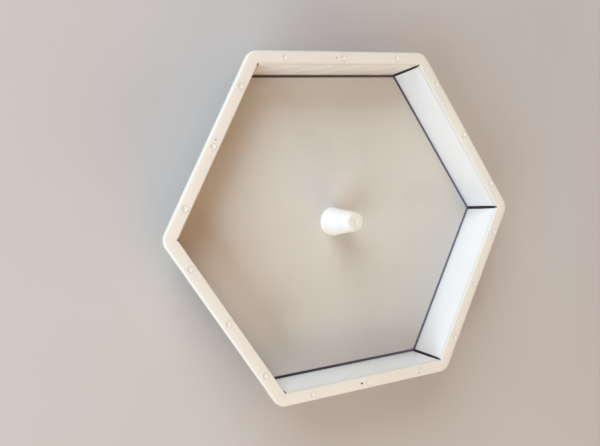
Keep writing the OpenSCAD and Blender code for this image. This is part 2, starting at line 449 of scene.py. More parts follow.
def turned(corners: list[Turn], steps: int = WIDE) -> Object:
    """A piece turned on the lathe about the spin axis.

    A section that starts and ends on the axis is closed by it. Any other is closed by its own first corner.

    Args:
        corners: The section's corners, in order round it.
        steps: Number of facets round the piece.

    Returns:
        The piece.
    """
    on_axis = corners[0].radius == 0 and corners[-1].radius == 0
    outline = rounded_outline(corners, closed=not on_axis)
    if not on_axis:
        outline.append(outline[0])
    clear_bench()
    bpy.ops.mesh.primitive_plane_add(size=MM, location=(outline[0][0], 0, outline[0][1]))
    piece = settle(bpy.context.object)
    with shaping(piece, Pick.CORNER):
        bpy.ops.mesh.select_all(action="SELECT")
        bpy.ops.mesh.merge(type="CENTER")
        for (r0, z0), (r1, z1) in zip(outline, outline[1:], strict=False):
            bpy.ops.mesh.extrude_vertices_move(TRANSFORM_OT_translate={"value": (r1 - r0, 0, z1 - z0)})
        bpy.ops.mesh.select_all(action="SELECT")
        bpy.ops.mesh.remove_doubles(threshold=1e-7)
        bpy.ops.mesh.select_all(action="SELECT")
        bpy.ops.mesh.spin(steps=steps, angle=TURN, center=(0, 0, 0), axis=(0, 0, 1))
    return clean(piece)


def places_of(name: str, apart: float) -> list[Place]:
    """Where a node's separate solids stand.

    Args:
        name: The node's name. The node is only read.
        apart: Solids stand further apart than this.

    Returns:
        The middle of each solid, across and along.
    """
    groups: list[list[Vector]] = []
    for vertex in bpy.data.objects[name].data.vertices:
        flat = vertex.co.xy
        near = next((group for group in groups if (group[0] - flat).length < apart), None)
        if near is None:
            groups.append([flat.copy()])
        else:
            near.append(flat.copy())
    middles = []
    for group in groups:
        across = [point.x for point in group]
        along = [point.y for point in group]
        middles.append(((min(across) + max(across)) / 2, (min(along) + max(along)) / 2))
    return middles


def copies_at(piece: Object, places: list[Place], name: str) -> Object:
    """Stand a copy of a piece at each place, join the copies, and throw the first piece away.

    Args:
        piece: The piece to copy.
        places: Where the copies stand, across and along.
        name: The name of what comes out.

    Returns:
        The joined copies.
    """
    copies = []
    for place in places:
        copy = duplicate(piece)
        copy.location = (*place, 0)
        copies.append(settle(copy))
    bpy.data.objects.remove(piece)
    return join(copies, name)


# ------------------------------------------------------------------ finishes


@dataclass(frozen=True)
class Tone:
    """One colour of a finish, as linear red, green and blue."""

    red: float
    green: float
    blue: float

    @property
    def rgba(self) -> tuple[float, float, float, float]:
        """The tone as a node socket takes it."""
        return (self.red, self.green, self.blue, 1.0)


class FinishGraph:
    """A material's nodes, placed and joined in order."""

    def __init__(self, name: str) -> None:
        """Start a material with one shader and the piece's own coordinates.

        Args:
            name: The material's name.
        """
        self.material: Material = bpy.data.materials.new(name)
        self.material.use_nodes = True
        self.tree = self.material.node_tree
        self.shader = self.tree.nodes["Principled BSDF"]
        self.place = self.tree.nodes.new("ShaderNodeTexCoord").outputs["Object"]

    def fill(self, socket: NodeSocket, value: object) -> None:
        """Join a socket to another, or give it an even value.

        Args:
            socket: The socket that is filled.
            value: Another socket, a Tone, or the value itself.
        """
        if isinstance(value, NodeSocket):
            self.tree.links.new(value, socket)
        else:
            socket.default_value = value.rgba if isinstance(value, Tone) else value

    def add(self, kind: str, inputs: dict[str | int, object], **settings: str) -> Node:
        """Add a node, set it up, and fill its inputs.

        Args:
            kind: The node's type.
            inputs: What goes into its sockets, by their names or numbers.
            settings: Its own settings, by name.

        Returns:
            The node.
        """
        node = self.tree.nodes.new("ShaderNode" + kind)
        for name, value in settings.items():
            setattr(node, name, value)
        for key, value in inputs.items():
            self.fill(node.inputs[key], value)
        return node

    def stretch(self, scale: tuple[float, float, float], turn: float = 0.0) -> NodeSocket:
        """The coordinates, scaled unevenly and turned by an angle about the upright axis."""
        inputs = {"Vector": self.place, "Scale": scale, "Rotation": (0, 0, turn)}
        return self.add("Mapping", inputs).outputs["Vector"]

    def noise(
        self, scale: float, detail: float = 4.0, rough: float = 0.5, at: NodeSocket | None = None
    ) -> NodeSocket:
        """A noise, from 0 to 1."""
        inputs = {"Vector": at or self.place, "Scale": scale, "Detail": detail, "Roughness": rough}
        return self.add("TexNoise", inputs).outputs["Fac"]

    def spread(self, value: NodeSocket, low: float, high: float, to: tuple[float, float]) -> NodeSocket:
        """Map a stretch of values onto another, held at its ends."""
        inputs = {"Value": value, "From Min": low, "From Max": high, "To Min": to[0], "To Max": to[1]}
        return self.add("MapRange", inputs).outputs["Result"]

    def blend(self, amount: NodeSocket, first: Tone | NodeSocket, second: Tone | NodeSocket) -> NodeSocket:
        """Mix two colours.

        Args:
            amount: Share of the second.
            first: The first colour.
            second: The second colour.

        Returns:
            The mixed colour.
        """
        node = self.add("Mix", {"Factor": amount}, data_type="RGBA")
        for part, name in ((first, "A"), (second, "B")):
            self.fill(next(s for s in node.inputs if s.name == name and s.type == "RGBA"), part)
        return next(s for s in node.outputs if s.type == "RGBA")

    def along(self, axis: str) -> NodeSocket:
        """The piece's own coordinate along one axis, named X, Y or Z."""
        return self.add("SeparateXYZ", {"Vector": self.place}).outputs[axis]

    def spot(self, across: float, along: float, radius: float) -> NodeSocket:
        """A mask that is 1 inside an upright cylinder and fades out just round it.

        Args:
            across: Where its axis stands along X.
            along: Where its axis stands along Y.
            radius: Its radius.

        Returns:
            The mask's value.
        """
        ends = {0: self.stretch((1, 1, 0)), 1: (across, along, 0)}
        node = self.add("VectorMath", ends, operation="DISTANCE")
        return self.spread(node.outputs["Value"], radius, radius * 1.5, (1, 0))

    def streaks(self, apart: float, slope: float) -> NodeSocket:
        """Soft parallel bands of painted reflection that rise along X.

        Args:
            apart: Distance between two bands.
            slope: Angle of their rise, in radians.

        Returns:
            The bands' value, from 0 to 1.
        """
        slant = self.add("Mapping", {"Vector": self.place, "Rotation": (0, slope, 0)}).outputs[0]
        inputs = {"Vector": slant, "Scale": math.tau / (20 * apart), "Distortion": 0.6}
        wave = self.add("TexWave", inputs, bands_direction="X")
        return self.spread(wave.outputs["Fac"], 0.6, 1, (0, 1))

    def sum(self, *parts: NodeSocket) -> NodeSocket:
        """Add values together.

        Args:
            parts: The values.

        Returns:
            Their sum.
        """
        total = parts[0]
        for part in parts[1:]:
            total = self.add("Math", {0: total, 1: part}, operation="ADD").outputs["Value"]
        return total

    def relief(self, height: NodeSocket, depth: float) -> None:
        """Give the shader a bump."""
        bump = self.add("Bump", {"Strength": 1.0, "Distance": depth, "Height": height})
        self.set(Normal=bump.outputs["Normal"])

    def set(self, **values: object) -> None:
        """Fill the shader's own sockets, by name with _ for a space."""
        for name, value in values.items():
            self.fill(self.shader.inputs[name.replace("_", " ")], value)


@dataclass(frozen=True)
class MouldedPlastic:
    """Opaque white plastic as it leaves the mould, with faint flow marks, scuffs and handling, and where
    asked painted reflection bands, painted shade on the top face and painted shade spots.
    """

    name: str
    tone: Tone
    shade: Tone
    stain: Tone
    gloss: tuple[float, float] = (0.34, 0.5)
    grain: float = 0.02 * MM
    scuffs: float = 0.4
    glow: float = 0.08
    # Spots of painted shade: place across, along, and radius.
    spots: tuple[tuple[float, float, float], ...] = ()
    reflection_apart: float = 0.0
    # Height above which the top face takes painted shade; 0 for none.
    shaded_above: float = 0.0
    # Tone of the painted reflection bands.
    reflection_tone: Tone = Tone(0.93, 0.92, 0.90)
    # Tone of the painted shade on the post's top face.
    painted_top_shade: Tone = Tone(0.69, 0.69, 0.61)
    # Near-black tone of the painted shade in the vent holes.
    painted_hole_shade: Tone = Tone(0.01, 0.009, 0.009)

    def make(self) -> Material:
        """Build the material.

        Returns:
            The material.
        """
        graph = FinishGraph(self.name)
        drift = graph.spread(graph.noise(9, 2), 0.35, 0.65, (0, 1))
        mottle = graph.spread(graph.noise(70, 5, 0.6), 0.42, 0.7, (0, 0.55))
        scratch_one = graph.noise(1, 3, 0.6, graph.stretch((1400, 60, 300), math.radians(28)))
        scratch_two = graph.noise(1, 3, 0.6, graph.stretch((70, 1500, 300), math.radians(-17)))
        scuff = graph.sum(
            graph.spread(scratch_one, 0.66, 0.74, (0, self.scuffs)),
            graph.spread(scratch_two, 0.67, 0.76, (0, self.scuffs)),
        )
        body = graph.blend(drift, self.tone, self.shade)
        skin = graph.blend(graph.spread(graph.noise(38, 6, 0.62), 0.54, 0.75, (0, 0.5)), body, self.stain)
        # Painted reflection: lighter diagonal bands laid over the skin.
        if self.reflection_apart:
            bands = graph.spread(graph.streaks(self.reflection_apart, math.radians(-45)), 0, 1, (0, 0.55))
            skin = graph.blend(bands, skin, self.reflection_tone)
        # Painted shade: the top face above this height is darkened.
        if self.shaded_above:
            painted_top_shade = graph.spread(graph.along("Z"), self.shaded_above - 0.15 * MM, self.shaded_above, (0, 1))
            skin = graph.blend(painted_top_shade, skin, self.painted_top_shade)
        # Painted shade: near-black spots over the vent holes.
        for across, along, radius in self.spots:
            skin = graph.blend(graph.spot(across, along, radius), skin, self.painted_hole_shade)
        rough = graph.sum(graph.spread(mottle, 0, 1, self.gloss), graph.spread(scuff, 0, 1, (0, 0.22)))
        pores = graph.noise(2600, 2, 0.5)
        flow = graph.noise(120, 2, 0.4)
        dents = graph.spread(scuff, 0, 1, (0, -0.3))
        graph.relief(graph.sum(graph.spread(pores, 0.3, 0.7, (0, 0.35)), flow, dents), self.grain)
        graph.set(Base_Color=skin, Roughness=rough, IOR=1.5)
        graph.set(Subsurface_Weight=self.glow, Subsurface_Scale=2.0 * MM, Subsurface_Radius=(1.0, 0.9, 0.75))
        return graph.material


@dataclass(frozen=True)
class SeamRubber:
    """Black sealing rubber with a skin that is a little uneven and dusty, and where asked painted sheen
    towards +X and +Y.
    """

    name: str
    tone: Tone
    dust: Tone
    gloss: tuple[float, float] = (0.42, 0.62)
    # Tone of the cool painted sheen towards +X.
    cool_sheen: Tone | None = None
    # Tone of the warm painted sheen towards +Y.
    warm_sheen: Tone | None = None

    def make(self) -> Material:
        """Build the material.

        Returns:
            The material.
        """
        graph = FinishGraph(self.name)
        bloom = graph.noise(160, 5, 0.65)
        skin = graph.blend(graph.spread(bloom, 0.45, 0.8, (0, 0.7)), self.tone, self.dust)
        # Painted sheen: lighter and cooler towards +X.
        if self.cool_sheen:
            skin = graph.blend(graph.spread(graph.along("X"), -0.04, 0.07, (0, 1)), skin, self.cool_sheen)
        # Painted sheen: lighter and warmer towards +Y.
        if self.warm_sheen:
            skin = graph.blend(graph.spread(graph.along("Y"), 0.05, 0.075, (0, 0.8)), skin, self.warm_sheen)
        pimples = graph.spread(graph.noise(3200, 1), 0.3, 0.7, (0, 0.3))
        graph.relief(graph.sum(graph.noise(700, 3, 0.5), pimples), 0.05 * MM)
        graph.set(Base_Color=skin, Roughness=graph.spread(bloom, 0.3, 0.7, self.gloss), IOR=1.52)
        return graph.material


@dataclass(frozen=True)
class TurnedMetal:
    """Metal with the fine rings that a lathe leaves round the spin axis."""

    name: str
    tone: Tone
    tarnish: Tone
    gloss: tuple[float, float] = (0.22, 0.38)
    ring_pitch: float = 0.25 * MM
    depth: float = 0.004 * MM

    def make(self) -> Material:
        """Build the material.

        Returns:
            The material.
        """
        graph = FinishGraph(self.name)
        flat = graph.add("VectorMath", {0: graph.place, 1: (1, 1, 0)}, operation="MULTIPLY")
        reach = graph.add("VectorMath", {0: flat.outputs["Vector"]}, operation="LENGTH")
        ring = graph.add("CombineXYZ", {"X": reach.outputs["Value"], "Y": graph.along("Z")})
        lines = graph.noise(1 / self.ring_pitch, 3, 0.7, ring.outputs["Vector"])
        cloud = graph.noise(90, 4, 0.6)
        skin = graph.blend(graph.spread(cloud, 0.45, 0.75, (0, 0.8)), self.tone, self.tarnish)
        rough = graph.spread(graph.sum(lines, cloud), 0.7, 1.3, self.gloss)
        graph.relief(lines, self.depth)
        graph.set(Base_Color=skin, Roughness=rough, Metallic=1.0)
        return graph.material


@dataclass(frozen=True)
class PlatedSteel:
    """Zinc-plated steel, with its cloudy crystal bloom."""

    name: str
    tone: Tone
    bloom: Tone
    gloss: tuple[float, float] = (0.28, 0.46)

    def make(self) -> Material:
        """Build the material.

        Returns:
            The material.
        """
        graph = FinishGraph(self.name)
        cells = graph.add("TexVoronoi", {"Vector": graph.place, "Scale": 900})
        cloud = graph.noise(220, 5, 0.6)
        skin = graph.blend(graph.spread(cloud, 0.4, 0.75, (0, 0.9)), self.tone, self.bloom)
        rough = graph.spread(graph.sum(cells.outputs["Distance"], cloud), 0.5, 1.3, self.gloss)
        graph.relief(graph.noise(1800, 3, 0.5), 0.006 * MM)
        graph.set(Base_Color=skin, Roughness=rough, Metallic=1.0)
        return graph.material


@dataclass(frozen=True)
class StudioFloor:
    """The plain pale floor under the barrel."""

    name: str
    tone: Tone
    shade: Tone

    def make(self) -> Material:
        """Build the material.

        Returns:
            The material.
        """
        graph = FinishGraph(self.name)
        skin = graph.blend(graph.spread(graph.noise(6, 3), 0.3, 0.7, (0, 1)), self.tone, self.shade)
        graph.set(Base_Color=skin, Roughness=graph.spread(graph.noise(40, 3), 0.3, 0.7, (0.62, 0.7)))
        return graph.material


@dataclass(frozen=True)
class Finishes:
    """Every finish on the barrel, made once."""

    shell: Material
    liner: Material
    reflection_liner: Material
    floor_liner: Material
    rim: Material
    post: Material
    corner_rubber: Material
    floor_rubber: Material
    pad_rubber: Material
    aluminium: Material
    ground_steel: Material
    plated_steel: Material
    bronze: Material

    @classmethod
    def mix(cls, sizes: Sizes) -> Finishes:
        """Make the finishes.

        Args:
            sizes: The barrel's sizes, for the marks that stand at set places.

        Returns:
            The finishes.
        """
        reach = sizes.vent_radius * 1.25
        # Spots of painted shade over the vents marked dark.
        shaded_vent_spots = tuple((*sizes.vent_place(vent), reach) for vent in sizes.vents if vent.dark)
        # One white plastic, toned per part: the darker floor and rim tones are partly painted shade, and the
        # post's lighter tone is partly painted light.
        white = (Tone(0.80, 0.79, 0.77), Tone(0.77, 0.76, 0.74), Tone(0.73, 0.71, 0.67))
        shell = (Tone(0.80, 0.79, 0.76), Tone(0.77, 0.76, 0.73), Tone(0.72, 0.70, 0.65))
        floor = (Tone(0.56, 0.56, 0.51), Tone(0.53, 0.53, 0.48), Tone(0.49, 0.48, 0.43))
        rim = (Tone(0.71, 0.71, 0.64), Tone(0.68, 0.67, 0.60), Tone(0.65, 0.62, 0.55))
        post = (Tone(0.88, 0.87, 0.84), Tone(0.86, 0.85, 0.81), Tone(0.83, 0.81, 0.76))
        polished = {"gloss": (0.26, 0.38), "grain": 0.004 * MM, "scuffs": 0.0}
        # Painted sheens that lighten the floor bead towards +X and +Y.
        painted_sheens = {"cool_sheen": Tone(0.12, 0.105, 0.15), "warm_sheen": Tone(0.07, 0.045, 0.05)}
        steel = (Tone(0.56, 0.57, 0.58), Tone(0.47, 0.47, 0.47))
        finishes = {
            "shell": MouldedPlastic("shell_plastic", *shell),
            "liner": MouldedPlastic("liner_plastic", *white),
            # Wall plate 2's liner carries painted reflection bands.
            "reflection_liner": MouldedPlastic("reflection_liner_plastic", *white, reflection_apart=13.8 * MM),
            "floor_liner": MouldedPlastic("floor_plastic", *floor, gloss=(0.4, 0.55)),
            "rim": MouldedPlastic("rim_plastic", *rim, spots=shaded_vent_spots),
            # The post's top face gets painted shade.
            "post": MouldedPlastic("post_plastic", *post, shaded_above=sizes.post_top - 0.6 * MM, **polished),
            "corner_rubber": SeamRubber("corner_rubber", Tone(0.006, 0.004, 0.007), Tone(0.03, 0.02, 0.035)),
            "floor_rubber": SeamRubber(
                "floor_rubber", Tone(0.015, 0.011, 0.018), Tone(0.04, 0.032, 0.045), **painted_sheens
            ),
            "pad_rubber": SeamRubber("pad_rubber", Tone(0.018, 0.018, 0.019), Tone(0.06, 0.058, 0.055)),
            "aluminium": TurnedMetal("turned_aluminium", Tone(0.70, 0.71, 0.72), Tone(0.58, 0.58, 0.58)),
            "ground_steel": TurnedMetal("ground_steel", *steel, gloss=(0.12, 0.24)),
            "plated_steel": PlatedSteel("plated_steel", Tone(0.62, 0.64, 0.66), Tone(0.55, 0.54, 0.50)),
            "bronze": TurnedMetal("turned_bronze", Tone(0.60, 0.38, 0.16), Tone(0.42, 0.26, 0.11)),
        }
        return cls(**{use: finish.make() for use, finish in finishes.items()})


def dress(piece: Object, finish: Material, body: str, slot: str, *nodes: str) -> Object:
    """Give a piece its finish and its body, and let it stand for its nodes.

    Args:
        piece: The finished piece.
        finish: Its material.
        body: The body that it moves with.
        slot: Not used.
        nodes: The nodes that it stands for.

    Returns:
        The same piece.
    """
    piece.data.materials.clear()
    piece.data.materials.append(finish)
    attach(piece, body)
    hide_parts(*nodes)
    log.info("%s: %d faces, rides on %s", piece.name, len(piece.data.polygons), body)
    return piece


# -------------------------------------------------------------- driving sizes


class Vent(NamedTuple):
    """A small vent hole through the rim frame, beside the middle pin of its side.

    Args:
        side: Number of the side, counted from the one left of +X.
        way: 1 where it stands past the pin, and -1 where it stands before it.
        dark: Whether painted shade darkens it.
    """

    side: int
    way: int
    dark: bool = False


@dataclass(frozen=True)
class Sizes:
    """The barrel's driving sizes, in metres, worked out from the frame's nodes."""

    outer_corner: float
    rim_width: float
    rim_top: float
    rim_low: float
    flange_low: float
    shell_low: float
    liner_low: float
    floor_top: float
    post_top: float
    seam: float
    lean: float = math.radians(1.2)
    shell_wall: float = 1.5 * MM
    liner_wall: float = 1.2 * MM
    flange_wall: float = 1.7 * MM
    outer_rounding: float = 6.5 * MM
    foot_height: float = 6.3 * MM
    foot_lean: float = math.radians(20)
    # The vent on side 4 takes painted shade.
    vents: tuple[Vent, ...] = (Vent(1, 1), Vent(2, -1), Vent(4, -1, dark=True))
    vent_gap: float = 3.6 * MM
    vent_radius: float = 0.35 * MM

    @classmethod
    def from_frame(cls) -> Sizes:
        """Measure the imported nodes.

        Returns:
            The sizes.
        """
        rim_low, rim_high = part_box("rim_frame")
        plate_low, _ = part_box("wall_plate_2")
        shell_low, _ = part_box("barrel_shell")
        seal_low, seal_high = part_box("corner_seal_1")
        floor_low, floor_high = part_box("floor_plate")
        half_flats = rim_high.y
        mouth = plate_low.y + (rim_high.z - plate_low.z) * math.tan(cls.lean)
        return cls(
            outer_corner=half_flats / FLAT,
            rim_width=half_flats - mouth,
            rim_top=rim_high.z,
            rim_low=rim_low.z,
            flange_low=rim_low.z - cls.flange_wall,
            shell_low=shell_low.z,
            liner_low=floor_low.z,
            floor_top=floor_high.z,
            post_top=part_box("centre_post")[1].z,
            seam=seal_high.y - seal_low.y,
        )

    def flat(self, outwards: float, height: float) -> float:
        """Distance from the axis to a leaning wall."""
        mouth = self.outer_corner * FLAT - self.rim_width
        return mouth + outwards / math.cos(self.lean) - (self.rim_top - height) * math.tan(self.lean)

    def corner(self, outwards: float, height: float) -> float:
        """Distance from the axis to the corner between two leaning walls."""
        return self.flat(outwards, height) / FLAT

    def foot(self, outwards: float, height: float) -> float:
        """Distance from the axis to the steeper bevel round the foot.

        Args:
            outwards: How far the surface lies outside the liner's face.
            height: Where it is measured.

        Returns:
            The distance, square to the side.
        """
        wall = self.liner_wall + self.shell_wall
        knee = self.shell_low + self.foot_height
        inset = (wall - outwards) / math.cos(self.foot_lean)
        return self.flat(wall, knee) - inset - (knee - height) * math.tan(self.foot_lean)

    def vent_place(self, vent: Vent) -> Place:
        """Where a vent stands.

        Args:
            vent: The vent.

        Returns:
            Its place, across and along.
        """
        angle = SIXTH * (vent.side + 0.5)
        out = self.outer_corner * FLAT - self.rim_width / 2
        along = vent.way * self.vent_gap
        cos, sin = math.cos(angle), math.sin(angle)
        return (out * cos - along * sin, out * sin + along * cos)

    def knee(self, outwards: float) -> float:
        """Height at which the wall turns into the bevel of the foot."""
        gap = self.flat(outwards, 0) - self.foot(outwards, 0)
        return gap / (math.tan(self.foot_lean) - math.tan(self.lean))


# ------------------------------------------------------------ sub-assemblies


@dataclass
class SubAssembly:
    """What every sub-assembly is built from."""

    sizes: Sizes
    finishes: Finishes


@dataclass
class Rim(SubAssembly):
    """The frame round the mouth, and the pins that hold it."""

    edge_round: float = 1.2 * MM
    edge_drop: float = 1.1 * MM
    crown: float = 0.22 * MM
    mouth_round: float = 1.5 * MM
    pin_head: float = 1.65 * MM
    pin_shank: float = 1.1 * MM
    pin_lip: float = 0.2 * MM
    pin_ring: float = 0.4 * MM
    pin_sink: float = 0.8 * MM
    notch: float = 0.4 * MM
    pins: list[Place] = field(default_factory=lambda: places_of("rim_pins", 5 * MM))

    def crown_height(self, inwards: float) -> float:
        """Height of the rim's faintly crowned top."""
        half = self.sizes.rim_width / 2
        return self.sizes.rim_top - self.crown * ((inwards - half) / half) ** 2

    def top_section(self) -> list[Place]:
        """The rim's section from the start of its outer rounding to the start of its mouth.

        Returns:
            Distance in from the outer edge, and height, of each point.
        """
        edge = self.crown_height(self.edge_round)
        points = []
        for k in range(6):
            angle = math.radians(90 * k / 5)
            points.append(
                (self.edge_round * (1 - math.cos(angle)), edge - self.edge_drop * (1 - math.sin(angle)))
            )
        inner = self.sizes.rim_width - self.mouth_round - 0.2 * MM
        for k in range(1, 6):
            inwards = self.edge_round + (inner - self.edge_round) * k / 5
            points.append((inwards, self.crown_height(inwards)))
        return points

    def build_frame(self) -> Object:
        """Model the frame: crowned, rounded outside, sharp-cornered inside, seated for its pins and seams.

        Returns:
            The frame.
        """
        s = self.sizes
        section = self.top_section()
        frame = six_sided(s.outer_corner, s.rim_low, section[0][1])
        round_upright_corners(frame, s.outer_rounding, 16)
        with shaping(frame):
            choose(frame, looks_up)
            for (in0, up0), (in1, up1) in zip(section, section[1:], strict=False):
                bpy.ops.mesh.inset(thickness=in1 - in0, depth=up1 - up0, use_even_offset=True)
        over, under = s.rim_top + PAST, s.rim_low - PAST
        cut(frame, six_sided(s.corner(0, over), under, over, s.lean))
        brim = section[-1][1]
        mouth = s.corner(0, brim) + MM / 2
        round_edges(
            frame,
            lambda a, b: is_level(a, b, brim) and max(a.xy.length, b.xy.length) < mouth,
            self.mouth_round,
            6,
        )
        cutters = [rod(self.pin_shank, under, over, pin, 32) for pin in self.pins]
        cutters += [rod(self.pin_head, s.rim_top - self.pin_sink, over, pin, 32) for pin in self.pins]
        cutters += [rod(s.vent_radius, under, over, s.vent_place(vent), SMALL) for vent in s.vents]
        corner = s.corner(0, s.rim_top)
        for side in range(SIDES):
            angle = SIXTH * side
            place = (corner * math.cos(angle), corner * math.sin(angle))
            cutters.append(rod(self.notch, under, over, place, SMALL))
        cut(frame, *cutters)
        return finished(frame, "rim_frame_moulding", 25)

    def build_pins(self) -> Object:
        """Model one pin with its raised ring and shallow dish, and stand a copy at every seat.

        Returns:
            All the pins, joined.
        """
        s = self.sizes
        top = s.rim_top + self.pin_lip
        dish = self.pin_head - self.pin_ring
        step = s.rim_top - self.pin_sink
        pin = turned(
            [
                Turn(0, s.flange_low),
                Turn(self.pin_shank, s.flange_low, 0.2 * MM),
                Turn(self.pin_shank, step),
                Turn(self.pin_head, step),
                Turn(self.pin_head, top, 0.14 * MM),
                Turn(dish, top, 0.14 * MM),
                Turn(dish - 0.2 * MM, s.rim_top - self.pin_lip, 0.15 * MM),
                Turn(0, s.rim_top - self.pin_lip * 0.7),
            ],
            32,
        )
        return smooth(copies_at(pin, self.pins, "rim_pin_set"), 40)

    def build(self) -> None:
        """Build and dress the rim."""
        dress(self.build_frame(), self.finishes.rim, "barrel", "rim_plastic", "rim_frame")
        dress(self.build_pins(), self.finishes.rim, "barrel", "rim_plastic", "rim_pins")


@dataclass
class Shell(SubAssembly):
    """The watertight shell and its flange."""

    corner_round: float = 4.0 * MM
    foot_round: float = 1.4 * MM
    knee_round: float = 1.6 * MM
    brow_round: float = 1.0 * MM
    root_round: float = 0.9 * MM
    hub_hole: float = 6.0 * MM
    screw_radius: float = 2.0 * MM

    def leaning_block(self, outwards: float, low: float, high: float) -> Object:
        """Model the space inside the leaning walls and the bevel of the foot.

        Args:
            outwards: How far its sides lie outside the liner's faces.
            low: Height of its lower face.
            high: Height of its upper face.

        Returns:
            The block.
        """
        s = self.sizes
        knee = s.knee(outwards)
        piece = six_sided(s.corner(outwards, high), knee, high, s.lean)
        shrink = s.foot(outwards, low) / s.flat(outwards, knee)
        with shaping(piece):
            choose(piece, looks_down)
            bpy.ops.mesh.extrude_region_move(TRANSFORM_OT_translate={"value": (0, 0, low - knee)})
            bpy.ops.transform.resize(value=(shrink, shrink, 1), center_override=(0, 0, low))
        return piece

    def build_shell(self) -> Object:
        """Model the shell as one wall thickness all over, with its flange welded on.

        Returns:
            The shell.
        """
        s = self.sizes
        wall = s.liner_wall + s.shell_wall
        knee = s.knee(wall)
        shell = self.leaning_block(wall, s.shell_low, s.rim_low)
        round_upright_corners(shell, self.corner_round, 6)
        round_edges(shell, lambda a, b: is_level(a, b, knee), self.knee_round, 4)
        round_edges(shell, lambda a, b: is_level(a, b, s.shell_low), self.foot_round, 5)
        flange = six_sided(s.outer_corner, s.flange_low, s.rim_low)
        round_upright_corners(flange, s.outer_rounding, 16)
        round_edges(flange, lambda a, b: is_level(a, b, s.flange_low), self.brow_round, 4)
        combine(shell, flange)
        joint = s.corner(wall, s.flange_low) + MM / 2
        round_edges(
            shell,
            lambda a, b: is_level(a, b, s.flange_low) and max(a.xy.length, b.xy.length) < joint,
            self.root_round,
            4,
        )
        under, over = s.shell_low - PAST, s.liner_low + PAST
        cut(shell, self.leaning_block(s.liner_wall, s.liner_low, s.rim_low + PAST))
        cut(shell, rod(self.hub_hole, under, over))
        for place in places_of("pulley_screws", 8 * MM):
            cut(shell, rod(self.screw_radius, under, over, place, SMALL))
        return finished(shell, "barrel_shell_moulding")

    def build(self) -> None:
        """Build and dress the shell."""
        dress(self.build_shell(), self.finishes.shell, "barrel", "shell_plastic", "barrel_shell")


@dataclass
class Liners(SubAssembly):
    """The six leaning wall plates and the floor plate."""

    edge_round: float = 0.12 * MM
    post_hole: float = 6.0 * MM
    plate_recess: float = 30.2 * MM
    recess_depth: float = 2.0 * MM

    def build_wall_plate(self) -> Object:
        """Model the wall plate whose face looks along -X, mitred at both ends.

        Returns:
            The plate.
        """
        s = self.sizes
        clear_bench()
        height = 2 * (s.rim_top - s.liner_low)
        bpy.ops.mesh.primitive_cube_add(size=1, scale=(s.liner_wall, 2 * s.outer_corner, height))
        plate = settle(bpy.context.object)
        plate.location = (s.liner_wall / 2, 0, 0)
        settle(plate)
        plate.rotation_euler = (0, s.lean, 0)
        plate.location = (s.flat(0, s.rim_top), 0, s.rim_top)
        settle(plate)
        mitre = s.seam / 2 / math.sin(SIXTH / 2)
        foot = s.shell_low + s.foot_height
        trims = [
            (Vector((0, 0, s.rim_low)), UP),
            (Vector((0, 0, s.liner_low)), -UP),
            (
                Vector((s.foot(s.liner_wall, foot), 0, foot)),
                Vector((math.cos(s.foot_lean), 0, -math.sin(s.foot_lean))),
            ),
            (Vector((mitre, 0, 0)), Vector((-math.sin(SIXTH / 2), FLAT, 0))),
            (Vector((mitre, 0, 0)), Vector((-math.sin(SIXTH / 2), -FLAT, 0))),
        ]
        for point, away in trims:
            with shaping(plate):
                bpy.ops.mesh.select_all(action="SELECT")
                bpy.ops.mesh.bisect(plane_co=point, plane_no=away, use_fill=True, clear_outer=True)
        round_edges(plate, lambda a, b: True, self.edge_round, 2)
        return clean(plate)

    def build_floor_plate(self) -> Object:
        """Model the floor plate, holed for the post and recessed over the backing plate.

        Returns:
            The plate.
        """
        s = self.sizes
        corner = (s.flat(0, s.floor_top) - s.seam) / FLAT
        plate = six_sided(corner, s.liner_low, s.floor_top)
        round_edges(plate, lambda a, b: is_level(a, b, s.floor_top), 0.25 * MM, 3)
        under = s.liner_low - PAST
        cut(plate, rod(self.plate_recess, under, s.liner_low + self.recess_depth, steps=WIDE))
        cut(plate, rod(self.post_hole, under, s.floor_top + PAST))
        return finished(plate, "floor_liner")

    def build(self) -> None:
        """Build and dress every plate."""
        first = self.build_wall_plate()
        for number in range(1, SIDES + 1):
            angle = SIXTH * (number - 0.5)
            plate = smooth(copy_turned(first, f"wall_liner_{number}", angle), 30)
            finish = self.finishes.reflection_liner if number == 2 else self.finishes.liner
            dress(plate, finish, "barrel", "liner_plastic", f"wall_plate_{number}")
        bpy.data.objects.remove(first)
        dress(self.build_floor_plate(), self.finishes.floor_liner, "barrel", "liner_plastic", "floor_plate")


